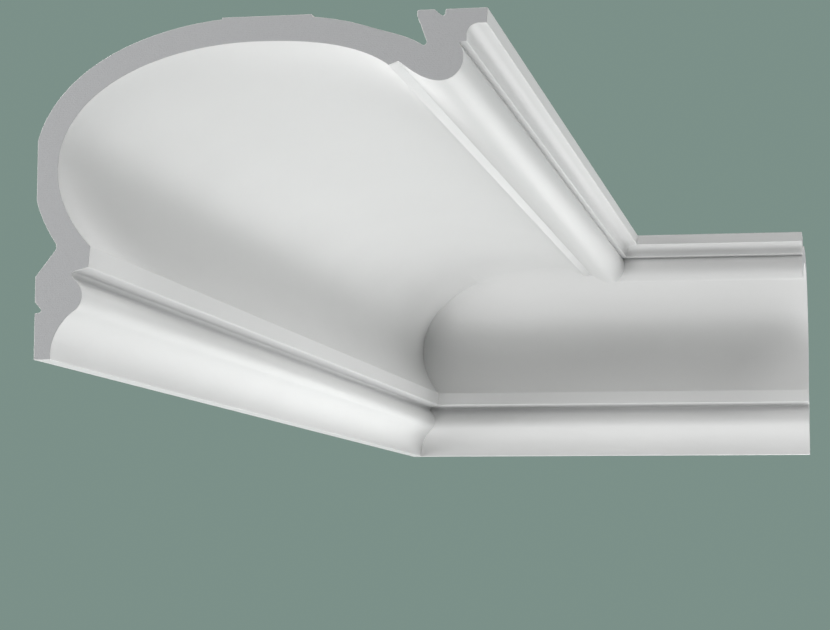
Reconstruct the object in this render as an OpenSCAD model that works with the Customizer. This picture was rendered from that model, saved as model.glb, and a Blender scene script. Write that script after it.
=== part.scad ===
// Coved cornice moulding for an inside corner: two lengths of moulded rigid foam,
// each a hollow-backed shell, mitred together where the two walls of a room meet.
//
// The moulding hangs in the angle of wall and ceiling. The side length runs along the
// wall at X = 0, towards -Y. The back length runs along the wall at Y = 0, towards +X.
// The ceiling is the plane Z = drop. The origin is where the bottom edge of the
// moulding meets the corner of the room.
//
// The section is drawn with X as the distance from the wall and Y as the height above
// the bottom edge.

/* [Lengths] */
// Length along the side wall, from the corner of the room to the square cut
side_length = 1070; // [400:10:1500]
// Length along the back wall, from the corner of the room to the square cut
back_length = 370; // [300:10:1500]

/* [Overall section] */
// Reach across the ceiling, from the wall to the tip
reach = 234; // [190:1:320]
// Drop down the wall, from the ceiling to the bottom edge
drop = 174; // [145:1:240]
// Thickness of the shell behind the cove
shell = 13.2; // [10:0.2:16]

/* [Cove] */
// Nearest distance from the face of the cove to the wall
cove_wall_gap = 11; // [8:0.5:14]
// Height of that nearest point above the lower fillet
cove_wall_rise = 39.5; // [30:0.5:46]
// Nearest distance from the face of the cove to the ceiling
cove_ceiling_gap = 13.2; // [11:0.2:18]
// Distance of that nearest point from the upper fillet
cove_ceiling_run = 67.5; // [50:0.5:75]
// Slope at which the cove leaves the lower fillet, from straight out
cove_low_slope = 135; // [125:1:145]
// Slope at which the cove meets the upper fillet, below level
cove_high_slope = 37; // [25:1:45]

/* [Lower moulding] */
// Depth of the bottom edge, out from the wall
lip_depth = 8.6; // [6:0.2:12]
// Radius of the hollow above the bottom edge
lip_hollow_r = 28.6; // [22:0.2:40]
// Radius of the lower bead
low_bead_r = 10; // [8:0.1:12]
// Distance of the centre of the lower bead from the wall
low_bead_out = 15; // [13:0.1:17]
// Height of the centre of the lower bead
low_bead_up = 32.8; // [30:0.1:36]
// Radius at the bottom of the quirk between bead and fillet
low_quirk_r = 2.1; // [0.8:0.1:2.6]
// Distance of the centre of the quirk from the wall
low_quirk_out = 21.6; // [20:0.1:23]
// Height of the centre of the quirk above the centre of the bead
low_quirk_up = 10.5; // [10:0.1:13]
// Distance of the lower edge of the fillet from the wall
low_fillet_out = 28.1; // [26:0.1:32]
// Height of the lower edge of the fillet above the centre of the bead
low_fillet_up = 14.3; // [13.5:0.1:17]
// Height of the fillet
low_fillet_h = 10.7; // [8:0.1:14]
// How far the upper edge of the fillet leans out past the lower one
low_fillet_lean = 1.1; // [0:0.1:2]

/* [Upper moulding] */
// Height of the tip
tip_h = 7.8; // [5:0.1:10]
// How far the lower edge of the tip leans back
tip_lean = 0.6; // [0:0.1:1.5]
// Width of the level underside of the tip
tip_flat = 4.2; // [2:0.1:6]
// Radius of the hollow behind the tip
tip_hollow_r = 5.9; // [4:0.1:7]
// Height of the step below the hollow
step_h = 3; // [1.5:0.1:4]
// Radius of the upper bead
high_bead_r = 12; // [10:0.1:13]
// Distance of the centre of the upper bead from the tip
high_bead_in = 24.3; // [23:0.1:26]
// Distance of the centre of the upper bead below the ceiling
high_bead_down = 24.5; // [23:0.1:26]
// Distance of the outer edge of the upper fillet from the tip
high_fillet_in = 45.5; // [43:0.1:48]
// Distance of the outer edge of the upper fillet below the ceiling
high_fillet_down = 25.8; // [24:0.1:28]
// Width of the upper fillet
high_fillet_w = 5; // [3:0.1:7]
// How far the upper fillet falls towards the cove
high_fillet_fall = 1.9; // [0.5:0.1:3]

/* [Back] */
// Height of the lower pad on the wall
wall_pad_h = 42.6; // [36:0.2:46]
// Depth of the hollow above the lower pad
wall_hollow_depth = 10.9; // [8:0.1:12]
// Radius of the round end of that hollow
wall_hollow_r = 3.6; // [2:0.1:4]
// Height of the middle of the round end above the lower pad
wall_hollow_up = 15.4; // [12:0.1:18]
// Width of the pad on the ceiling, over the top of the cove
ceiling_pad_w = 47; // [30:1:60]
// How much of that pad lies on the wall side of the top of the cove
ceiling_pad_wall_side = 19; // [10:1:28]
// Width of the pad on the ceiling behind the tip
tip_pad_w = 35.8; // [30:0.2:38]
// Depth of the hollow behind that pad
tip_hollow_depth = 18; // [14:0.2:19]
// Radius of the sharp end of that hollow
tip_hollow_end_r = 1.6; // [0.8:0.1:2]
// How far that end lies under the pad
tip_hollow_lean = 3.2; // [0:0.2:4]
// Depth to which the edge of that pad stays upright
tip_pad_edge_h = 3; // [1:0.2:5]
// Length of the floor that leads to that end
tip_floor_run = 26.5; // [20:0.5:30]
// Depth at which that floor begins
tip_floor_down = 7; // [5:0.2:9]
// Width of each glue groove
groove_w = 5.8; // [4:0.1:9]
// Depth of each glue groove
groove_depth = 3.3; // [2:0.1:4]
// Radius at the bottom of each glue groove
groove_tip_r = 1.3; // [0.6:0.1:1.6]
// How far the bottom of each glue groove lies off its middle
groove_shift = 1.4; // [0:0.1:1.6]
// Height of the middle of the glue groove in the wall pad
wall_groove_up = 26.8; // [20:0.2:30]
// Distance of the middle of the glue groove in the ceiling pad from the tip
tip_groove_in = 24.2; // [18:0.2:25]

/* [Hidden] */

curve_steps = 20;    // straight pieces in each curve of the section
small_steps = 8;     // straight pieces in each small round
past = 1;            // how far a cut runs past the face that it opens

// How far each end pulls on a curve of the cove, in millimetres or as a share of its span
hook_pull = 14;
hook_wall_share = 0.37;
sweep_up_share = 0.635;
sweep_out_share = 0.522;
fall_ceiling_share = 0.31;
fall_pull = 21.5;

// The same for the outer flank of the upper bead
flank_pull = 7.6;
flank_slope = -38;
flank_bead_pull = 8;

// Angles at which the small rounds of the section begin or end
high_bead_end = 36;
wall_hollow_top = 35;
tip_hollow_floor = -125;
tip_hollow_face = 18;
low_quirk_top = 122;
groove_steep_side = 85;
groove_slant_side = 40;

// The floor of the hollow behind the tip: pulls and slopes at its two ends
floor_start_pull = 12;
floor_start_slope = -19;
floor_end_pull = 9;
floor_end_slope = -35;

// --- curves -----------------------------------------------------------------------

// Point at share t of the curve that leaves a towards b and reaches d from c
function bezier(a, b, c, d, t) =
    pow(1 - t, 3) * a + 3 * pow(1 - t, 2) * t * b + 3 * (1 - t) * t * t * c + pow(t, 3) * d;

// Direction of that curve at share t, as a unit vector
function heading(a, b, c, d, t) =
    let (v = pow(1 - t, 2) * (b - a) + 2 * (1 - t) * t * (c - b) + t * t * (d - c)) v / norm(v);

// Points of the curve, each moved to the left of its heading by a distance
function curve(ends, left = 0, steps = curve_steps) = [
    for (i = [0:steps])
        let (
            t = i / steps,
            way = heading(ends[0], ends[1], ends[2], ends[3], t)
        )
        bezier(ends[0], ends[1], ends[2], ends[3], t) + left * [-way[1], way[0]]
];

// Points of an arc round a centre, from one angle to another
function arc(centre, r, from, to, steps = curve_steps) = [
    for (i = [0:steps])
        let (angle = from + (to - from) * i / steps)
        centre + r * [cos(angle), sin(angle)]
];

function along(angle) = [cos(angle), sin(angle)];
function angle_of(v) = atan2(v[1], v[0]);

// Angle, at the centre of a round, between the line to another round's centre and the
// point where the two rounds cross
function meeting_angle(r, other_r, gap) =
    acos((r * r + gap * gap - other_r * other_r) / (2 * r * gap));

// --- lower moulding ---------------------------------------------------------------

low_bead = [low_bead_out, low_bead_up];
low_quirk = [low_quirk_out, low_bead_up + low_quirk_up];
low_fillet_bottom = [low_fillet_out, low_bead_up + low_fillet_up];
low_fillet_top = low_fillet_bottom + [low_fillet_lean, low_fillet_h];

// The hollow above the lip stands upright at the lip and touches the bead.
lip_hollow_out = lip_depth + lip_hollow_r;
lip_hollow = [
    lip_hollow_out,
    low_bead_up - sqrt(pow(lip_hollow_r + low_bead_r, 2) - pow(lip_hollow_out - low_bead_out, 2))
];
lip_turn = angle_of(lip_hollow - low_bead);

// With a large bead the hollow's centre falls below the bottom edge, which cuts it off.
lip_is_upright = lip_hollow[1] > 0;
lip_start = lip_is_upright ? 180 : 180 - asin(-lip_hollow[1] / lip_hollow_r);

// A straight flank touches the bead and the round bottom of the quirk. Where the two
// rounds are too large for one, the quirk cuts into the bead instead. The underside of
// the fillet meets the quirk at an angle.
to_quirk = low_quirk - low_bead;
quirk_gap = norm(to_quirk);
has_flank = quirk_gap > low_bead_r + low_quirk_r;
flank_spread = acos((low_bead_r + low_quirk_r) / quirk_gap);
bead_end = angle_of(to_quirk) - (has_flank
    ? flank_spread
    : meeting_angle(low_bead_r, low_quirk_r, quirk_gap));
quirk_start = angle_of(to_quirk) + 180 + (has_flank
    ? -flank_spread
    : meeting_angle(low_quirk_r, low_bead_r, quirk_gap));

lower_front = concat(
    [[0, 0]],
    lip_is_upright ? [[lip_depth, 0]] : [],
    arc(lip_hollow, lip_hollow_r, lip_start, 180 + lip_turn),
    arc(low_bead, low_bead_r, lip_turn, bead_end),
    arc(low_quirk, low_quirk_r, quirk_start, low_quirk_top, small_steps),
    [low_fillet_bottom]
);

// --- upper moulding ---------------------------------------------------------------

tip_bottom = [reach - tip_lean, drop - tip_h];
tip_hollow = tip_bottom - [tip_flat, tip_hollow_r];
step_top = tip_hollow - [tip_hollow_r, 0];
step_bottom = step_top - [0, step_h];
high_bead = [reach - high_bead_in, drop - high_bead_down];
high_fillet_outer = [reach - high_fillet_in, drop - high_fillet_down];
high_fillet_inner = high_fillet_outer - [high_fillet_w, high_fillet_fall];

high_bead_lowest = high_bead - [0, high_bead_r];
high_flank = [
    high_fillet_outer,
    high_fillet_outer + flank_pull * along(flank_slope),
    high_bead_lowest - [flank_bead_pull, 0],
    high_bead_lowest
];

upper_front = concat(
    curve(high_flank),
    arc(high_bead, high_bead_r, -90, high_bead_end),
    [step_bottom],
    arc(tip_hollow, tip_hollow_r, 180, 90, small_steps),
    [tip_bottom, [reach, drop]]
);

// --- cove -------------------------------------------------------------------------

// The face of the cove comes nearest to the wall here, and nearest to the ceiling there.
cove_at_wall = [cove_wall_gap, low_fillet_top[1] + cove_wall_rise];
cove_at_ceiling = [high_fillet_inner[0] - cove_ceiling_run, drop - cove_ceiling_gap];
cove_span = cove_at_ceiling - cove_at_wall;

cove_hook = [
    low_fillet_top,
    low_fillet_top + hook_pull * along(cove_low_slope),
    cove_at_wall - [0, hook_wall_share * cove_wall_rise],
    cove_at_wall
];
cove_sweep = [
    cove_at_wall,
    cove_at_wall + [0, sweep_up_share * cove_span[1]],
    cove_at_ceiling - [sweep_out_share * cove_span[0], 0],
    cove_at_ceiling
];
cove_fall = [
    cove_at_ceiling,
    cove_at_ceiling + [fall_ceiling_share * cove_ceiling_run, 0],
    high_fillet_inner - fall_pull * along(-cove_high_slope),
    high_fillet_inner
];

front = concat(lower_front, curve(cove_hook), curve(cove_sweep), curve(cove_fall), upper_front);

// --- back -------------------------------------------------------------------------

ceiling_pad_out = cove_at_ceiling[0] - ceiling_pad_wall_side;
ceiling_pad_end = ceiling_pad_out + ceiling_pad_w;
tip_pad_in = reach - tip_pad_w;

// Open corner behind the cove, between the wall and the ceiling
corner_space = concat(
    [for (p = curve(cove_sweep, shell)) if (p[0] < ceiling_pad_out) p],
    [[ceiling_pad_out, drop + past], [-past - shell, drop + past]]
);

// Hollow in the wall side: a bevel over the lower pad, a round end, then the back of the cove
wall_pad_top = [0, wall_pad_h];
wall_hollow_end = [wall_hollow_depth - wall_hollow_r, wall_pad_h + wall_hollow_up];
to_hollow_end = wall_hollow_end - wall_pad_top;
bevel_slope = angle_of(to_hollow_end) - asin(wall_hollow_r / norm(to_hollow_end));
wall_space = concat(
    [wall_pad_top - past / cos(bevel_slope) * along(bevel_slope)],
    arc(wall_hollow_end, wall_hollow_r, bevel_slope - 90, wall_hollow_top, small_steps),
    [for (p = curve(cove_hook, shell)) if (p[1] > wall_hollow_end[1] + wall_hollow_r) p]
);

// Hollow in the ceiling side: the back of the cove, a floor, then a sharp end under the tip pad
tip_hollow_end = [tip_pad_in + tip_hollow_lean, drop - tip_hollow_depth + tip_hollow_end_r];
floor_end = tip_hollow_end + tip_hollow_end_r * along(tip_hollow_floor);
floor_start = [tip_pad_in - tip_floor_run, drop - tip_floor_down];
tip_floor = [
    floor_start,
    floor_start + floor_start_pull * along(floor_start_slope),
    floor_end - floor_end_pull * along(floor_end_slope),
    floor_end
];
tip_space = concat(
    [[ceiling_pad_end, drop + past]],
    [for (p = curve(cove_fall, shell)) if (p[0] > ceiling_pad_end && p[0] < floor_start[0]) p],
    curve(tip_floor, 0, small_steps),
    arc(tip_hollow_end, tip_hollow_end_r, tip_hollow_floor, tip_hollow_face, small_steps),
    [[tip_pad_in, drop - tip_pad_edge_h], [tip_pad_in, drop + past]]
);

// A glue groove is a lopsided, rounded V. Its depth runs along X from the face that it
// opens, and its steeper side is the one towards +Y.
groove = concat(
    [[-past, groove_w / 2], [0, groove_w / 2]],
    arc([groove_depth - groove_tip_r, groove_shift], groove_tip_r, groove_steep_side, -groove_slant_side, small_steps),
    [[0, -groove_w / 2], [-past, -groove_w / 2]]
);

// --- modules ----------------------------------------------------------------------

// Section of the moulding, between the wall at X = 0 and the ceiling at Y = drop
module section() {
    difference() {
        polygon(concat(front, [[0, drop]]));
        polygon(corner_space);
        polygon(wall_space);
        polygon(tip_space);
        translate([0, wall_groove_up]) mirror([0, 1]) polygon(groove);
        translate([reach - tip_groove_in, drop]) rotate(-90) polygon(groove);
    }
}

// A length along the side wall, square at its far end and mitred in the corner
module mitred_length(run) {
    difference() {
        rotate([90, 0, 0]) linear_extrude(height = run) section();
        rotate(45) translate([0, -2 * reach, -past])
            cube([2 * reach, 4 * reach, drop + 2 * past]);
    }
}

module side_length_moulding() {
    color("white") mitred_length(side_length);
}

// The same moulding, mirrored across the mitre onto the back wall
module back_length_moulding() {
    color("gainsboro") mirror([1, 1, 0]) mitred_length(back_length);
}

side_length_moulding();
back_length_moulding();
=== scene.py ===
"""Coved cornice moulding for an inside corner, in white primer over moulded foam.

Two lengths of one hollow-backed section meet in a mitre where two walls of a room
meet. Sizes of the section are in millimetres, and every mesh is in metres, in the
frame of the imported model: the side length lies along the wall at X = 0 and the back
length along the wall at Y = 0, with the ceiling at the top of their box.
"""

from __future__ import annotations

import logging
import math
from dataclasses import dataclass, field, replace
from enum import Enum
from typing import Any, Callable

import bmesh
import bpy
from mathutils import Matrix, Vector

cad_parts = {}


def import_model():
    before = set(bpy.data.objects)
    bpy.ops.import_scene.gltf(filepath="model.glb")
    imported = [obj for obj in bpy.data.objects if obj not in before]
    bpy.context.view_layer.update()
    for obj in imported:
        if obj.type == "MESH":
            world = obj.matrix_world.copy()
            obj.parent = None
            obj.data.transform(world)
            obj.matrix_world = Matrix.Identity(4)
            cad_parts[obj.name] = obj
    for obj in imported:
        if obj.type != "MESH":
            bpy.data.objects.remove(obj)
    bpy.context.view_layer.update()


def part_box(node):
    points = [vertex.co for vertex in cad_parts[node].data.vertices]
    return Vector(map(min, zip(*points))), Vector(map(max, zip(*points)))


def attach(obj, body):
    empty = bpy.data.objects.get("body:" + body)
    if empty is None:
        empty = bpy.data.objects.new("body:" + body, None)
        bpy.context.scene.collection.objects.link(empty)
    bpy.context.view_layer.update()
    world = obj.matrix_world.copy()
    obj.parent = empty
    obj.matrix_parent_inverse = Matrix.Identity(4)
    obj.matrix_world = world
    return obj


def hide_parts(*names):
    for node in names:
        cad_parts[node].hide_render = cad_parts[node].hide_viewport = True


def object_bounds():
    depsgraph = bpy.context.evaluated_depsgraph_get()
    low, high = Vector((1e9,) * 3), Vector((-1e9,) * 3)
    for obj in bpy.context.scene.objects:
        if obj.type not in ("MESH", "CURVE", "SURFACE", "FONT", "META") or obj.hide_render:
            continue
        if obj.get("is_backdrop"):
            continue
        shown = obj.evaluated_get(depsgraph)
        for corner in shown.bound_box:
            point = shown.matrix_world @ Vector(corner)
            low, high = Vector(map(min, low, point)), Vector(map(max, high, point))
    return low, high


LOG = logging.getLogger("cornice")
MM = 0.001
TINY = 1e-9
WAVE_SPACING = 0.3  # about how far apart a wave texture's bands lie at a scale of 1


# --- shader maths -----------------------------------------------------------------


class Graph:
    """The node tree of one material or world."""

    def __init__(self, owner: bpy.types.Material | bpy.types.World) -> None:
        """Empties the owner's node tree.

        Args:
            owner: the material or world that is dressed.
        """
        owner.use_nodes = True
        self.tree = owner.node_tree
        self.tree.nodes.clear()

    def node(
        self,
        kind: str,
        settings: dict[str, Any] | None = None,
        inputs: dict[str | int, Any] | None = None,
    ) -> bpy.types.Node:
        """Adds a node of any type.

        Args:
            kind: the node's type name.
            settings: its properties, which are set first.
            inputs: a value, a Wire or a node, for each named or numbered socket.

        Returns:
            The new node.
        """
        made = self.tree.nodes.new(kind)
        for name, value in (settings or {}).items():
            setattr(made, name, value)
        for name, value in (inputs or {}).items():
            self._feed(made.inputs[name], value)
        return made

    def wire(self, made: bpy.types.Node, output: str | int = 0) -> Wire:
        """Wraps one output of a node, so that maths can be written with it."""
        return Wire(self, made.outputs[output])

    def _feed(self, socket: bpy.types.NodeSocket, value: Any) -> None:
        """Links a Wire or a node's first output to a socket, or sets its value.

        Args:
            socket: the socket to feed.
            value: a Wire, a node, or a plain value.
        """
        if isinstance(value, Wire):
            self.tree.links.new(value.socket, socket)
        elif isinstance(value, bpy.types.Node):
            self.tree.links.new(value.outputs[0], socket)
        else:
            socket.default_value = value


class Wire:
    """An output socket that Python's operators can be used on."""

    def __init__(self, graph: Graph, socket: bpy.types.NodeSocket) -> None:
        """Keeps the graph and the socket."""
        self.graph = graph
        self.socket = socket

    def _math(self, operation: str, first: Any, second: Any) -> Wire:
        """Adds a Math node on two numbers or Wires."""
        made = self.graph.node("ShaderNodeMath", {"operation": operation}, {0: first, 1: second})
        return self.graph.wire(made)

    def __add__(self, other: Any) -> Wire:
        """Adds a number or a Wire."""
        return self._math("ADD", self, other)

    __radd__ = __add__

    def __mul__(self, other: Any) -> Wire:
        """Multiplies by a number or a Wire."""
        return self._math("MULTIPLY", self, other)

    __rmul__ = __mul__

    def __sub__(self, other: Any) -> Wire:
        """Subtracts a number or a Wire."""
        return self._math("SUBTRACT", self, other)

    def __rsub__(self, other: Any) -> Wire:
        """Subtracts this from a number."""
        return self._math("SUBTRACT", other, self)


Colour = tuple[float, float, float]


def opaque(colour: Colour) -> tuple[float, float, float, float]:
    """A colour with full alpha, as colour sockets want it."""
    return (*colour, 1.0)


def blend_colours(graph: Graph, share: Any, first: Any, second: Any) -> Wire:
    """Mixes two colours.

    Args:
        graph: the graph to add to.
        share: how much of the second colour shows, from 0 to 1.
        first: a colour or a Wire.
        second: a colour or a Wire.

    Returns:
        The mixed colour.
    """
    made = graph.node(
        "ShaderNodeMix", {"data_type": "RGBA"}, {"Factor": share, 6: first, 7: second}
    )
    return graph.wire(made, 2)


# --- finishes ---------------------------------------------------------------------


def object_place(graph: Graph) -> Wire:
    """Coordinates in the object's own space, in metres."""
    return graph.wire(graph.node("ShaderNodeTexCoord"), "Object")


def noise(graph: Graph, grain: float, detail: float = 3.0) -> Wire:
    """Soft noise in the object's space.

    Args:
        graph: the graph to add to.
        grain: the size of one blot, in metres.
        detail: how many finer layers are added.

    Returns:
        A value from 0 to 1.
    """
    made = graph.node(
        "ShaderNodeTexNoise",
        None,
        {"Vector": object_place(graph), "Scale": 1.0 / grain, "Detail": detail},
    )
    return graph.wire(made, "Fac")


def cells(graph: Graph, size: float) -> Wire:
    """The distance from the middle of the nearest of many small cells.

    Args:
        graph: the graph to add to.
        size: the size of one cell, in metres.

    Returns:
        The distance, as a share of that size.
    """
    made = graph.node(
        "ShaderNodeTexVoronoi", None, {"Vector": object_place(graph), "Scale": 1.0 / size}
    )
    return graph.wire(made, "Distance")


def finish_with(graph: Graph, colour: Any, roughness: Any, shine: float, height: Wire) -> None:
    """Ends a material in its shader, with a bumped surface.

    Args:
        graph: the material's graph.
        colour: the base colour, as a colour or a Wire.
        roughness: a number or a Wire.
        shine: the strength of its reflections.
        height: how far the surface stands out, in metres.
    """
    bump = graph.node("ShaderNodeBump", None, {"Strength": 1.0, "Distance": 1.0, "Height": height})
    shader = graph.node(
        "ShaderNodeBsdfPrincipled",
        None,
        {
            "Base Color": colour,
            "Roughness": roughness,
            "Specular IOR Level": shine,
            "Normal": bump,
        },
    )
    graph.node("ShaderNodeOutputMaterial", None, {"Surface": shader})


@dataclass(frozen=True)
class Primer:
    """White primer, sprayed thin over the moulded skin."""

    name: str = "primer"
    colour: Colour = (0.80, 0.80, 0.795)
    cloud_colour: Colour = (0.78, 0.78, 0.777)
    # painted shade: the grey that ambient occlusion mixes into the white in quirks and crevices
    painted_shade_colour: Colour = (0.46, 0.462, 0.468)
    painted_shade_reach: float = 0.012
    painted_shade_samples: int = 12
    cloud: float = 0.09
    stipple: float = 0.0007
    stipple_detail: float = 2.0
    stipple_height: float = 0.00003
    drift: float = 0.03
    drift_height: float = 0.00012
    roughness: float = 0.5
    roughness_range: float = 0.1
    shine: float = 0.3

    def material(self) -> bpy.types.Material:
        """Makes the material: clouded white, with painted shade darkening its quirks and crevices,
        and a fine stipple.

        Returns:
            The new material.
        """
        made = bpy.data.materials.new(self.name)
        graph = Graph(made)
        clouds = noise(graph, self.cloud)
        white = blend_colours(graph, clouds, opaque(self.colour), opaque(self.cloud_colour))
        # painted shade: ambient occlusion darkens the colour wherever the surface is hemmed in, in
        # quirks and crevices
        openness = graph.node(
            "ShaderNodeAmbientOcclusion",
            {"samples": self.painted_shade_samples, "only_local": True},
            {"Distance": self.painted_shade_reach},
        )
        painted_shade = 1 - graph.wire(openness, "AO")
        colour = blend_colours(graph, painted_shade, white, opaque(self.painted_shade_colour))
        smoothest = self.roughness - self.roughness_range / 2
        roughness = clouds * self.roughness_range + smoothest
        stipple = noise(graph, self.stipple, self.stipple_detail) * self.stipple_height
        height = stipple + noise(graph, self.drift) * self.drift_height
        finish_with(graph, colour, roughness, self.shine, height)
        return made


@dataclass(frozen=True)
class FoamSkin:
    """The bare skin of the foam, on the faces that the walls and the ceiling hide."""

    name: str = "foam_skin"
    colour: Colour = (0.80, 0.795, 0.775)
    blot_colour: Colour = (0.74, 0.735, 0.71)
    blot: float = 0.02
    blot_detail: float = 4.0
    pore: float = 0.0016
    pore_inner_share: float = 0.08
    pore_outer_share: float = 0.3
    pore_depth: float = 0.00012
    roughness: float = 0.72
    shine: float = 0.2

    def material(self) -> bpy.types.Material:
        """Makes the material: a duller white with open pores and blots.

        Returns:
            The new material.
        """
        made = bpy.data.materials.new(self.name)
        graph = Graph(made)
        limits = {"From Min": self.pore_inner_share, "From Max": self.pore_outer_share}
        pores = graph.node(
            "ShaderNodeMapRange", None, {"Value": cells(graph, self.pore), **limits}
        )
        height = (graph.wire(pores) + noise(graph, self.blot)) * self.pore_depth
        colour = blend_colours(
            graph,
            noise(graph, self.blot, self.blot_detail),
            opaque(self.colour),
            opaque(self.blot_colour),
        )
        finish_with(graph, colour, self.roughness, self.shine, height)
        return made


@dataclass(frozen=True)
class SawnFoam:
    """Fine closed cells, laid open by a saw."""

    name: str = "sawn_foam"
    colour: Colour = (0.545, 0.55, 0.56)
    cell_colour: Colour = (0.495, 0.50, 0.51)
    cell: float = 0.0005
    cell_depth: float = 0.00008
    kerf: float = 0.0009
    kerf_wander: float = 1.5
    kerf_detail: float = 1.0
    kerf_depth: float = 0.00002
    roughness: float = 0.85
    shine: float = 0.1

    def material(self) -> bpy.types.Material:
        """Makes the material: grey foam with tiny cells and faint saw marks.

        Returns:
            The new material.
        """
        made = bpy.data.materials.new(self.name)
        graph = Graph(made)
        foam = cells(graph, self.cell)
        marks = graph.node(
            "ShaderNodeTexWave",
            {"bands_direction": "Z"},
            {
                "Vector": object_place(graph),
                "Scale": WAVE_SPACING / self.kerf,
                "Distortion": self.kerf_wander,
                "Detail": self.kerf_detail,
            },
        )
        height = foam * self.cell_depth + graph.wire(marks, "Fac") * self.kerf_depth
        colour = blend_colours(graph, foam, opaque(self.colour), opaque(self.cell_colour))
        finish_with(graph, colour, self.roughness, self.shine, height)
        return made


# --- outline of the section -------------------------------------------------------


class Side(Enum):
    """Which finish a stretch of the outline wears, by its place in the slots."""

    FACE = 0
    BACK = 1
    CUT = 2


def along(degrees: float) -> Vector:
    """The unit vector at an angle."""
    return Vector((math.cos(math.radians(degrees)), math.sin(math.radians(degrees))))


def angle_of(way: Vector) -> float:
    """The angle of a vector, in degrees."""
    return math.degrees(math.atan2(way.y, way.x))


def arc(centre: Vector, radius: float, start: float, end: float, steps: int) -> list[Vector]:
    """Points of an arc.

    Args:
        centre: its centre.
        radius: its radius.
        start: the angle at which it starts, in degrees.
        end: the angle at which it ends.
        steps: the number of straight pieces.

    Returns:
        The points, from start to end.
    """
    return [centre + radius * along(start + (end - start) * i / steps) for i in range(steps + 1)]


@dataclass(frozen=True)
class Curve:
    """A cubic curve that leaves its first point towards the second and reaches the last."""

    ends: tuple[Vector, Vector, Vector, Vector]

    def at(self, t: float) -> Vector:
        """A point of the curve.

        Args:
            t: the share of the way along it, from 0 to 1.

        Returns:
            The point.
        """
        a, b, c, d = self.ends
        u = 1 - t
        return u**3 * a + 3 * u * u * t * b + 3 * u * t * t * c + t**3 * d

    def left(self, t: float) -> Vector:
        """The unit normal on the left of the heading.

        Args:
            t: the share of the way along the curve, from 0 to 1.

        Returns:
            The normal.
        """
        a, b, c, d = self.ends
        u = 1 - t
        way = (u * u * (b - a) + 2 * u * t * (c - b) + t * t * (d - c)).normalized()
        return Vector((-way.y, way.x))

    def points(self, steps: int, left: float = 0.0) -> list[Vector]:
        """Points of the curve, each moved to its left by a distance."""
        shares = [i / steps for i in range(steps + 1)]
        return [self.at(t) + left * self.left(t) for t in shares]


@dataclass(frozen=True)
class Run:
    """A smooth stretch of the outline, between two arrises."""

    points: list[Vector]
    side: Side = Side.FACE
    support: float = 0.5
    supports_in_flat: float = 3.0

    def length(self) -> float:
        """The length along the run."""
        return sum((b - a).length for a, b in zip(self.points, self.points[1:]))

    def trimmed(self, at_start: float, at_end: float) -> Run:
        """The run without a stretch at each end.

        Args:
            at_start: the length to take off at its start.
            at_end: the length to take off at its end.

        Returns:
            The rest. A flat gets a point near each end, which keeps it flat when shaded.
        """
        kept = cut_start(self.points, at_start)
        kept = cut_start(kept[::-1], at_end)[::-1]
        flat = kept[1] - kept[0]
        if len(kept) == 2 and flat.length > self.supports_in_flat * self.support:
            way = flat.normalized() * self.support
            kept = [kept[0], kept[0] + way, kept[1] - way, kept[1]]
        return replace(self, points=kept)


def cut_start(points: list[Vector], distance: float) -> list[Vector]:
    """Points of a line without its first stretch.

    Args:
        points: the line's points.
        distance: the length to take off.

    Returns:
        The rest, starting with a new point where the cut falls.
    """
    left = distance
    for i, (a, b) in enumerate(zip(points, points[1:])):
        step = (b - a).length
        if step > left + TINY:
            return [a + (b - a) * (left / step)] + points[i + 1 :]
        left -= step
    return points[-2:]


@dataclass(frozen=True)
class Outline:
    """The closed outline of the section: its points, and the side that each piece is on."""

    points: list[Vector]
    sides: list[Side]

    def outward(self, i: int) -> Vector:
        """The unit normal at a point, out of the foam.

        Args:
            i: the number of the point.

        Returns:
            The normal.
        """
        before = self.points[i - 1]
        after = self.points[(i + 1) % len(self.points)]
        here = self.points[i]
        one, two = (here - before).normalized(), (after - here).normalized()
        way = (one + two).normalized()
        return Vector((way.y, -way.x))

    def inset(self, distance: float) -> list[Vector]:
        """The points, each moved into the foam."""
        return [p - distance * self.outward(i) for i, p in enumerate(self.points)]


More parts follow.
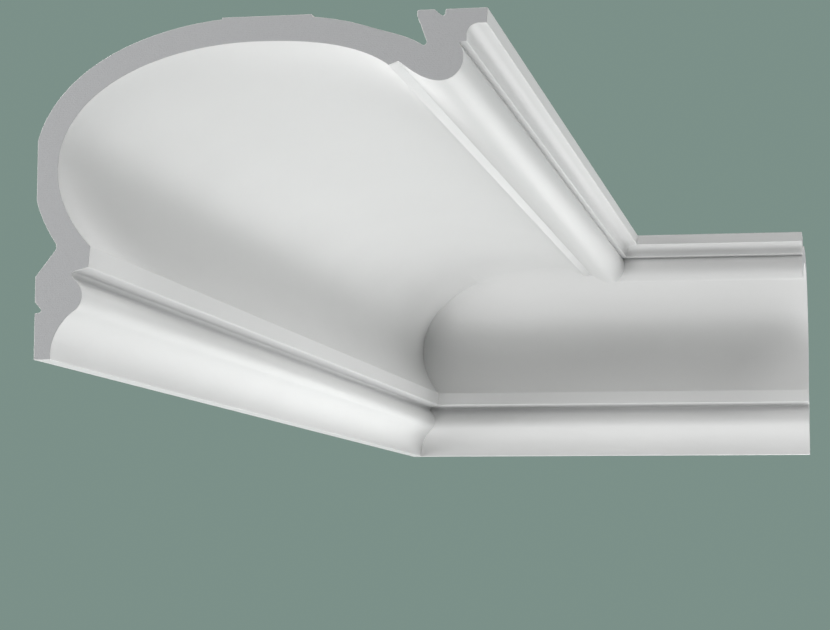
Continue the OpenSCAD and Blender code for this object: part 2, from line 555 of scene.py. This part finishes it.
@dataclass(frozen=True)
class Section:
    """The section of the moulding, in millimetres: X from the wall, Y from the bottom edge.

    A slope, and the angle at which an arc ends, is in degrees from +X. A pull is how far
    a curve is drawn along its tangent, and a share is a part of a curve's own span.
    """

    reach: float
    drop: float
    shell: float = 13.2
    curve_steps: int = 64
    round_steps: int = 28
    small_steps: int = 10

    # the cove: where it comes nearest to the wall and the ceiling, and how its curves leave
    cove_wall_gap: float = 11.0
    cove_wall_rise: float = 39.5
    cove_ceiling_gap: float = 13.2
    cove_ceiling_run: float = 67.5
    cove_low_slope: float = 135.0
    cove_high_slope: float = 37.0
    hook_pull: float = 14.0
    hook_wall_share: float = 0.37
    sweep_up_share: float = 0.635
    sweep_out_share: float = 0.522
    fall_ceiling_share: float = 0.31
    fall_pull: float = 21.5

    # the beaded foot and the lower fillet
    lip_depth: float = 8.6
    lip_hollow_r: float = 28.6
    low_bead: Vector = field(default_factory=lambda: Vector((15.0, 32.8)))
    low_bead_r: float = 10.0
    low_quirk: Vector = field(default_factory=lambda: Vector((21.6, 43.3)))
    low_quirk_r: float = 2.1
    low_quirk_top: float = 122.0
    low_fillet_bottom: Vector = field(default_factory=lambda: Vector((28.1, 47.1)))
    low_fillet_top: Vector = field(default_factory=lambda: Vector((29.2, 57.8)))

    # the tip, the step, the upper bead and the upper fillet
    tip_h: float = 7.8
    tip_lean: float = 0.6
    tip_flat: float = 4.2
    tip_hollow_r: float = 5.9
    step_h: float = 3.0
    high_bead_r: float = 12.0
    high_bead_in: float = 24.3
    high_bead_down: float = 24.5
    high_bead_end: float = 36.0
    high_fillet_in: float = 45.5
    high_fillet_down: float = 25.8
    high_fillet_w: float = 5.0
    high_fillet_fall: float = 1.9
    flank_pull: float = 7.6
    flank_slope: float = -38.0
    flank_bead_pull: float = 8.0

    # the back: its pads, the hollows between them and the glue grooves
    wall_pad_h: float = 42.6
    wall_hollow_depth: float = 10.9
    wall_hollow_r: float = 3.6
    wall_hollow_up: float = 15.4
    wall_hollow_top: float = 35.0
    ceiling_pad_w: float = 47.0
    ceiling_pad_wall_side: float = 19.0
    tip_pad_w: float = 35.8
    tip_pad_edge_h: float = 3.0
    tip_space_depth: float = 18.0
    tip_space_r: float = 1.6
    tip_space_lean: float = 3.2
    tip_space_floor: float = -125.0
    tip_space_face: float = 18.0
    floor_run: float = 26.5
    floor_down: float = 7.0
    floor_start_pull: float = 12.0
    floor_start_slope: float = -19.0
    floor_end_pull: float = 9.0
    floor_end_slope: float = -35.0
    groove_w: float = 5.8
    groove_depth: float = 3.3
    groove_tip_r: float = 1.3
    groove_shift: float = 1.4
    groove_steep_side: float = 85.0
    groove_slant_side: float = 40.0
    wall_groove_up: float = 26.8
    tip_groove_in: float = 24.2

    # short steps from the back of the shell to the flats that it meets
    behind_tip_end: float = 0.2
    behind_sweep_start: float = 0.15
    behind_hook_gap: float = 0.5

    # the rounding of the arrises
    face_arris: float = 0.45
    back_arris: float = 0.8
    arris_pull: float = 0.6
    arris_steps: int = 5
    arris_share: float = 0.3

    # The cove ------------------------------------------------------------------

    def _under_ceiling(self, out: float, down: float = 0.0) -> Vector:
        """The point at a distance from the wall and at a depth below the ceiling."""
        return Vector((out, self.drop - down))

    def _high_fillet_outer(self) -> Vector:
        """The edge of the upper fillet at the bead."""
        return self._under_ceiling(self.reach - self.high_fillet_in, self.high_fillet_down)

    def _high_fillet_inner(self) -> Vector:
        """The edge of the upper fillet at the cove."""
        return self._high_fillet_outer() - Vector((self.high_fillet_w, self.high_fillet_fall))

    def _cove_at_wall(self) -> Vector:
        """Where the face of the cove comes nearest to the wall."""
        return Vector((self.cove_wall_gap, self.low_fillet_top.y + self.cove_wall_rise))

    def _cove_at_ceiling(self) -> Vector:
        """Where the face of the cove comes nearest to the ceiling."""
        out = self._high_fillet_inner().x - self.cove_ceiling_run
        return self._under_ceiling(out, self.cove_ceiling_gap)

    def _hook(self) -> Curve:
        """The foot of the cove, from the lower fillet to the point nearest to the wall.

        Returns:
            The curve of its face.
        """
        foot, end = self.low_fillet_top, self._cove_at_wall()
        return Curve(
            (
                foot,
                foot + self.hook_pull * along(self.cove_low_slope),
                end - Vector((0, self.hook_wall_share * self.cove_wall_rise)),
                end,
            )
        )

    def _sweep(self) -> Curve:
        """The body of the cove, from the wall to the ceiling.

        Returns:
            The curve of its face.
        """
        low, high = self._cove_at_wall(), self._cove_at_ceiling()
        span = high - low
        return Curve(
            (
                low,
                low + Vector((0, self.sweep_up_share * span.y)),
                high - Vector((self.sweep_out_share * span.x, 0)),
                high,
            )
        )

    def _fall(self) -> Curve:
        """The head of the cove, from the ceiling down to the upper fillet.

        Returns:
            The curve of its face.
        """
        top, end = self._cove_at_ceiling(), self._high_fillet_inner()
        return Curve(
            (
                top,
                top + Vector((self.fall_ceiling_share * self.cove_ceiling_run, 0)),
                end - self.fall_pull * along(-self.cove_high_slope),
                end,
            )
        )

    # The face -------------------------------------------------------------------

    def _lower_face(self) -> list[Run]:
        """The bottom edge, the beaded foot and its fillet.

        Returns:
            Their runs, upwards.
        """
        hollow_x = self.lip_depth + self.lip_hollow_r
        centres = self.lip_hollow_r + self.low_bead_r
        rise = math.sqrt(centres**2 - (hollow_x - self.low_bead.x) ** 2)
        hollow = Vector((hollow_x, self.low_bead.y - rise))
        lip_turn = angle_of(hollow - self.low_bead)
        to_quirk = self.low_quirk - self.low_bead
        radii = self.low_bead_r + self.low_quirk_r
        flank_turn = angle_of(to_quirk) - math.degrees(math.acos(radii / to_quirk.length))
        lip = Vector((self.lip_depth, 0))
        lip_hollow = arc(hollow, self.lip_hollow_r, 180, 180 + lip_turn, self.round_steps)
        bead = arc(self.low_bead, self.low_bead_r, lip_turn, flank_turn, self.round_steps)
        quirk = arc(
            self.low_quirk,
            self.low_quirk_r,
            flank_turn + 180,
            self.low_quirk_top,
            self.small_steps,
        )
        return [
            Run([Vector((0, 0)), lip]),
            Run([lip, *lip_hollow, *bead[1:], *quirk]),
            Run([quirk[-1], self.low_fillet_bottom]),
            Run([self.low_fillet_bottom, self.low_fillet_top]),
        ]

    def _cove_face(self) -> list[Run]:
        """The cove and the fillet at its head.

        Returns:
            Their runs, upwards and away from the wall.
        """
        short_steps = self.curve_steps // 2
        points = self._hook().points(short_steps)
        points += self._sweep().points(self.curve_steps)[1:]
        points += self._fall().points(short_steps)[1:]
        return [Run(points), Run([self._high_fillet_inner(), self._high_fillet_outer()])]

    def _upper_face(self) -> list[Run]:
        """The bead, the step, the hollow and the tip under the ceiling.

        Returns:
            Their runs, up to the ceiling.
        """
        bead = self._under_ceiling(self.reach - self.high_bead_in, self.high_bead_down)
        lowest = bead - Vector((0, self.high_bead_r))
        outer = self._high_fillet_outer()
        flank = Curve(
            (
                outer,
                outer + self.flank_pull * along(self.flank_slope),
                lowest - Vector((self.flank_bead_pull, 0)),
                lowest,
            )
        )
        tip = self._under_ceiling(self.reach - self.tip_lean, self.tip_h)
        hollow = tip - Vector((self.tip_flat, self.tip_hollow_r))
        step = hollow - Vector((self.tip_hollow_r, self.step_h))
        bead_points = arc(bead, self.high_bead_r, -90, self.high_bead_end, self.round_steps)
        return [
            Run(flank.points(self.round_steps) + bead_points[1:]),
            Run([bead_points[-1], step]),
            Run([step, *arc(hollow, self.tip_hollow_r, 180, 90, self.small_steps), tip]),
            Run([tip, self._under_ceiling(self.reach)]),
        ]

    # The back -------------------------------------------------------------------

    def _ceiling_pad_ends(self) -> tuple[float, float]:
        """How far from the wall the pad over the cove starts and ends."""
        start = self._cove_at_ceiling().x - self.ceiling_pad_wall_side
        return start, start + self.ceiling_pad_w

    def _groove(self) -> list[Vector]:
        """A glue groove, with its depth along X and its steeper side towards +Y.

        Returns:
            Its points, from its +Y edge to its -Y edge, about the middle of its mouth.
        """
        bottom = arc(
            Vector((self.groove_depth - self.groove_tip_r, self.groove_shift)),
            self.groove_tip_r,
            self.groove_steep_side,
            -self.groove_slant_side,
            self.small_steps,
        )
        return [Vector((0, self.groove_w / 2)), *bottom, Vector((0, -self.groove_w / 2))]

    def _ceiling_back(self) -> list[Run]:
        """The back from the tip to the pad over the cove: a pad, its groove and a hollow.

        Returns:
            Its runs, towards the wall.
        """
        middle = self._under_ceiling(self.reach - self.tip_groove_in)
        groove = [middle + Vector((p.y, -p.x)) for p in self._groove()]
        pad_in = self.reach - self.tip_pad_w
        end = self._under_ceiling(
            pad_in + self.tip_space_lean, self.tip_space_depth - self.tip_space_r
        )
        floor_end = end + self.tip_space_r * along(self.tip_space_floor)
        floor_start = self._under_ceiling(pad_in - self.floor_run, self.floor_down)
        floor = Curve(
            (
                floor_start,
                floor_start + self.floor_start_pull * along(self.floor_start_slope),
                floor_end - self.floor_end_pull * along(self.floor_end_slope),
                floor_end,
            )
        )
        _, pad_end = self._ceiling_pad_ends()
        behind_cove = [
            p
            for p in self._fall().points(self.curve_steps, self.shell)
            if pad_end < p.x < floor_start.x
        ]
        face = arc(
            end, self.tip_space_r, self.tip_space_face, self.tip_space_floor, self.small_steps
        )
        inner_edge = self._under_ceiling(pad_in)
        hollow = [
            self._under_ceiling(pad_in, self.tip_pad_edge_h),
            *face,
            *floor.points(self.round_steps)[::-1][1:],
            *behind_cove[::-1],
        ]
        pad_edge = Vector((pad_end, hollow[-1].y + self.behind_tip_end))
        stretches = (
            [self._under_ceiling(self.reach), groove[0]],
            groove,
            [groove[-1], inner_edge],
            [inner_edge, hollow[0]],
            [*hollow, pad_edge],
            [pad_edge, self._under_ceiling(pad_end)],
        )
        return [Run(points, Side.BACK) for points in stretches]

    def _wall_back(self) -> list[Run]:
        """The back from the pad over the cove down the wall to the bottom edge.

        Returns:
            Its runs, downwards.
        """
        pad_start, pad_end = self._ceiling_pad_ends()
        behind = [
            p
            for p in self._sweep().points(self.curve_steps, self.shell)[::-1]
            if 0 < p.x < pad_start
        ]
        pad_edge = Vector((pad_start, behind[0].y + self.behind_sweep_start))
        hook_back = [
            p for p in self._hook().points(self.curve_steps, self.shell)[::-1] if p.x > 0
        ]
        pad_foot = Vector((0, self.wall_pad_h))
        round_end = Vector(
            (self.wall_hollow_depth - self.wall_hollow_r, self.wall_pad_h + self.wall_hollow_up)
        )
        to_end = round_end - pad_foot
        slope = angle_of(to_end) - math.degrees(math.asin(self.wall_hollow_r / to_end.length))
        low = round_end.y + self.wall_hollow_r
        hollow = [p for p in hook_back if p.y > low] + arc(
            round_end, self.wall_hollow_r, self.wall_hollow_top, slope - 90, self.small_steps
        )
        upper_top = Vector((0, behind[-1].y - self.behind_hook_gap))
        upper_foot = Vector((0, hollow[0].y + self.behind_hook_gap))
        middle = Vector((0, self.wall_groove_up))
        groove = [middle + Vector((p.x, -p.y)) for p in self._groove()][::-1]
        stretches = (
            [self._under_ceiling(pad_end), self._under_ceiling(pad_start)],
            [self._under_ceiling(pad_start), pad_edge],
            [pad_edge, *behind, upper_top],
            [upper_top, upper_foot],
            [upper_foot, *hollow, pad_foot],
            [pad_foot, groove[0]],
            groove,
            [groove[-1], Vector((0, 0))],
        )
        return [Run(points, Side.BACK) for points in stretches]

    # The whole ------------------------------------------------------------------

    def outline(self) -> Outline:
        """Joins the runs into one closed outline, with every arris eased.

        Returns:
            The outline, from the bottom edge up the face and down the back.
        """
        runs = [
            *self._lower_face(),
            *self._cove_face(),
            *self._upper_face(),
            *self._ceiling_back(),
            *self._wall_back(),
        ]
        eases = [self._ease(runs[i - 1], run) for i, run in enumerate(runs)]
        points: list[Vector] = []
        sides: list[Side] = []
        for i, run in enumerate(runs):
            after = runs[(i + 1) % len(runs)]
            ease_out = eases[(i + 1) % len(runs)]
            kept = run.trimmed(eases[i], ease_out).points
            follow = after.trimmed(ease_out, 0).points[0]
            start, corner = kept[-1], run.points[-1]
            pulls = [end.lerp(corner, self.arris_pull) for end in (start, follow)]
            stretch = kept + Curve((start, *pulls, follow)).points(self.arris_steps)[1:-1]
            points += stretch
            sides += [run.side] * len(stretch)
        return Outline(points, sides)

    def _ease(self, before: Run, after: Run) -> float:
        """How far from the corner between two runs their rounding starts.

        Args:
            before: the run that ends at the corner.
            after: the run that starts there.

        Returns:
            The distance, at most a share of either run.
        """
        size = self.face_arris if Side.FACE in (before.side, after.side) else self.back_arris
        turned = (before.points[-1] - before.points[-2]).angle(after.points[1] - after.points[0])
        wanted = size * math.tan(turned / 2)
        return min(wanted, self.arris_share * min(before.length(), after.length()))


# --- the two lengths --------------------------------------------------------------

Ring = list[bmesh.types.BMVert]


@dataclass(frozen=True)
class Length:
    """One length of the moulding: square at its far end, mitred in the corner."""

    node: str
    run: float
    place: Callable[[float, float, float], Vector]
    cut_ease: float = 0.2
    mitre_ease: float = 0.18
    mitre_ease_run: float = 1.4
    stations: int = 12
    sharp_turn: float = 40.0

    def build(self, outline: Outline) -> bpy.types.Object:
        """Sweeps the outline from the mitre to the square cut and closes both ends.

        Args:
            outline: the section's outline, in millimetres.

        Returns:
            The closed mesh, with a slot index on every face.
        """
        shape = bmesh.new()
        rings = self._rings(shape, outline)
        for one, two in zip(rings, rings[1:]):
            self._band(shape, one, two, outline.sides)
        for ring in (rings[0], rings[-1]):
            self._cap(shape, ring)
        bmesh.ops.recalc_face_normals(shape, faces=shape.faces)
        mesh = bpy.data.meshes.new(self.node + "_dressed")
        shape.to_mesh(mesh)
        shape.free()
        mesh.set_sharp_from_angle(angle=math.radians(self.sharp_turn))
        made = bpy.data.objects.new(self.node + "_dressed", mesh)
        bpy.context.scene.collection.objects.link(made)
        return made

    def _rings(self, shape: bmesh.types.BMesh, outline: Outline) -> list[Ring]:
        """Adds the rings of the sweep, with the first and the last drawn in a little.

        Args:
            shape: the mesh to add to.
            outline: the section's outline.

        Returns:
            The rings, from the mitre to the square cut.
        """
        start = self.mitre_ease_run * self.mitre_ease
        end = self.run - self.cut_ease
        rings = [self._ring(shape, outline.inset(self.mitre_ease), lambda p: p.x)]
        for i in range(self.stations + 1):
            share = i / self.stations
            rings.append(
                self._ring(
                    shape, outline.points, lambda p: (p.x + start) * (1 - share) + end * share
                )
            )
        rings.append(self._ring(shape, outline.inset(self.cut_ease), lambda p: self.run))
        return rings

    @staticmethod
    def _band(shape: bmesh.types.BMesh, one: Ring, two: Ring, sides: list[Side]) -> None:
        """Joins two rings by faces, each in the finish of its side.

        Args:
            shape: the mesh to add to.
            one: a ring.
            two: the next ring.
            sides: the side that each piece of the outline is on.
        """
        for i, side in enumerate(sides):
            j = (i + 1) % len(sides)
            made = shape.faces.new([one[i], one[j], two[j], two[i]])
            made.material_index = side.value
            made.smooth = True

    @staticmethod
    def _cap(shape: bmesh.types.BMesh, ring: Ring) -> None:
        """Closes one end with a flat face of sawn foam.

        Args:
            shape: the mesh to add to.
            ring: the ring at that end.
        """
        cap = shape.faces.new(ring)
        cap.material_index = Side.CUT.value
        cap.normal_update()
        bmesh.ops.triangulate(shape, faces=[cap], ngon_method="EAR_CLIP")

    def _ring(
        self, shape: bmesh.types.BMesh, points: list[Vector], distance: Callable[[Vector], float]
    ) -> Ring:
        """Adds one ring of the sweep.

        Args:
            shape: the mesh to add to.
            points: the ring's points in the section.
            distance: how far along the run each of them lies.

        Returns:
            The ring.
        """
        return [
            shape.verts.new(self.place(p.x * MM, distance(p) * MM, p.y * MM)) for p in points
        ]


def on_side_wall(out: float, run: float, up: float) -> Vector:
    """A point of the length that runs along the side wall, towards -Y."""
    return Vector((out, -run, up))


def on_back_wall(out: float, run: float, up: float) -> Vector:
    """A point of the length that runs along the back wall, towards +X."""
    return Vector((run, -out, up))


@dataclass(frozen=True)
class Cornice:
    """The two lengths, glued together in the corner."""

    side_node: str = "side_length_moulding"
    back_node: str = "back_length_moulding"

    def section(self) -> Section:
        """The section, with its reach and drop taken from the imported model."""
        low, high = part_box(self.side_node)
        return Section(reach=(high.x - low.x) / MM, drop=(high.z - low.z) / MM)

    def lengths(self) -> tuple[Length, Length]:
        """The two lengths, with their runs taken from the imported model.

        Returns:
            The side length and the back length.
        """
        side_low, side_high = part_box(self.side_node)
        back_low, back_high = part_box(self.back_node)
        return (
            Length(self.side_node, (side_high.y - side_low.y) / MM, on_side_wall),
            Length(self.back_node, (back_high.x - back_low.x) / MM, on_back_wall),
        )

    def build(self) -> None:
        """Builds both lengths, dresses them and puts them on the body."""
        finishes = [Primer().material(), FoamSkin().material(), SawnFoam().material()]
        outline = self.section().outline()
        for length in self.lengths():
            made = length.build(outline)
            for finish in finishes:
                made.data.materials.append(finish)
            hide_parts(length.node)
            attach(made, "root")
            LOG.info("%s: %d faces", made.name, len(made.data.polygons))


# --- studio -----------------------------------------------------------------------


def seen_directly(graph: Graph) -> Wire:
    """Tells a look at a surface from light that falls on it.

    Args:
        graph: the graph to add to.

    Returns:
        One where the camera, a reflection or a clear body looks at it, else zero.
    """
    rays = graph.node("ShaderNodeLightPath")
    looks = ("Is Camera Ray", "Is Glossy Ray", "Is Transmission Ray")
    camera, glossy, through = (graph.wire(rays, look) for look in looks)
    return camera + glossy + through


@dataclass(frozen=True)
class Lamp:
    """A square soft lamp, aimed at the middle of the object.

    It stands at an azimuth from the front towards the right and at an elevation from
    level, both in degrees, and its power is in watts.
    """

    name: str
    azimuth: float
    elevation: float
    power: float
    distance: float = 2.2
    size: float = 1.2

    def build(self, aim: Vector) -> None:
        """Adds the lamp.

        Args:
            aim: the point that it looks at.
        """
        data = bpy.data.lights.new(self.name, "AREA")
        data.shape, data.size, data.energy = "SQUARE", self.size, self.power
        lamp = bpy.data.objects.new(self.name, data)
        turn, rise = math.radians(self.azimuth), math.radians(self.elevation)
        back = Vector(
            (math.sin(turn) * math.cos(rise), -math.cos(turn) * math.cos(rise), math.sin(rise))
        )
        lamp.location = aim + back * self.distance
        lamp.rotation_mode = "QUATERNION"
        lamp.rotation_quaternion = back.to_track_quat("Z", "Y")
        lamp.visible_camera = False
        bpy.context.scene.collection.objects.link(lamp)
        LOG.info("lamp %s", self.name)


LAMPS = (
    Lamp("left_front", -50, -5, 32.2),
    Lamp("front_high", 20, 40, 17.6),
    Lamp("straight_below", 0, -85, 13.6),
    Lamp("near_below", 25, -50, 1.6, distance=1.15, size=0.6),
    Lamp("left_below", -60, -65, 9.5),
    Lamp("right_below", 120, -65, 15.9),
    Lamp("right_rear_high", 120, 15, 23.0),
    Lamp("rear_low", 165, -20, 13.3),
    Lamp("left_rear_high", -110, 45, 19.0),
)


@dataclass(frozen=True)
class Studio:
    """The floor, the air, the lamps and the camera."""

    floor_depth: float = 6.0
    floor_size: float = 120.0
    floor_colour: Colour = (0.25, 0.325, 0.295)
    floor_tone: Colour = (0.227, 0.318, 0.284)
    floor_glow: float = 0.85
    floor_roughness: float = 0.9
    floor_shine: float = 0.1
    air_colour: Colour = (0.20, 0.28, 0.25)
    glow_colour: Colour = (1.0, 1.0, 1.0)
    glow: float = 0.05
    lens: float = 104.06
    sensor: float = 36.0
    camera_place: Vector = field(default_factory=lambda: Vector((0.41136, -2.23293, -0.10505)))
    camera_heading: float = 10.42
    camera_rise: float = 6.033
    camera_roll: float = 0.187

    def build(self) -> None:
        """Builds the whole studio round the object."""
        low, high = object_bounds()
        aim = (low + high) / 2
        self._floor()
        self._air()
        for lamp in LAMPS:
            lamp.build(aim)
        self._camera()
        bpy.context.scene.view_settings.view_transform = "Standard"

    def _floor(self) -> None:
        """A plain grey-green floor, well below the moulding."""
        half = self.floor_size / 2
        corners = [(-half, -half), (half, -half), (half, half), (-half, half)]
        mesh = bpy.data.meshes.new("floor")
        mesh.from_pydata([(x, y, -self.floor_depth) for x, y in corners], [], [(0, 1, 2, 3)])
        floor = bpy.data.objects.new("floor", mesh)
        bpy.context.scene.collection.objects.link(floor)
        made = bpy.data.materials.new("floor_paint")
        graph = Graph(made)
        shader = graph.node(
            "ShaderNodeBsdfPrincipled",
            None,
            {
                "Base Color": opaque(self.floor_colour),
                "Roughness": self.floor_roughness,
                "Specular IOR Level": self.floor_shine,
            },
        )
        tone = graph.node(
            "ShaderNodeEmission", None, {"Color": opaque(self.floor_tone), "Strength": 1.0}
        )
        share = seen_directly(graph) * self.floor_glow
        mixed = graph.node("ShaderNodeMixShader", None, {0: share, 1: shader, 2: tone})
        graph.node("ShaderNodeOutputMaterial", None, {"Surface": mixed})
        mesh.materials.append(made)
        floor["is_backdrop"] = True

    def _air(self) -> None:
        """Soft light from all round, in which the camera sees only a plain grey-green."""
        world = bpy.data.worlds.new("air")
        bpy.context.scene.world = world
        graph = Graph(world)
        light = graph.node(
            "ShaderNodeBackground", None, {"Color": opaque(self.glow_colour), "Strength": self.glow}
        )
        seen = graph.node(
            "ShaderNodeBackground", None, {"Color": opaque(self.air_colour), "Strength": 1.0}
        )
        mixed = graph.node(
            "ShaderNodeMixShader", None, {0: seen_directly(graph), 1: light, 2: seen}
        )
        graph.node("ShaderNodeOutputWorld", None, {"Surface": mixed})

    def _camera(self) -> None:
        """The camera, below the moulding and looking up into the corner."""
        data = bpy.data.cameras.new("camera")
        data.lens, data.sensor_width = self.lens, self.sensor
        camera = bpy.data.objects.new("camera", data)
        turn = (
            Matrix.Rotation(math.radians(self.camera_heading), 4, "Z")
            @ Matrix.Rotation(math.radians(90 + self.camera_rise), 4, "X")
            @ Matrix.Rotation(math.radians(self.camera_roll), 4, "Z")
        )
        camera.matrix_world = Matrix.Translation(self.camera_place) @ turn
        bpy.context.scene.collection.objects.link(camera)
        bpy.context.scene.camera = camera


def main() -> None:
    """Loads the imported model, dresses it and sets up the studio."""
    logging.basicConfig(level=logging.INFO, format="%(name)s: %(message)s")
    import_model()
    Cornice().build()
    Studio().build()


if __name__ == "__main__":
    main()
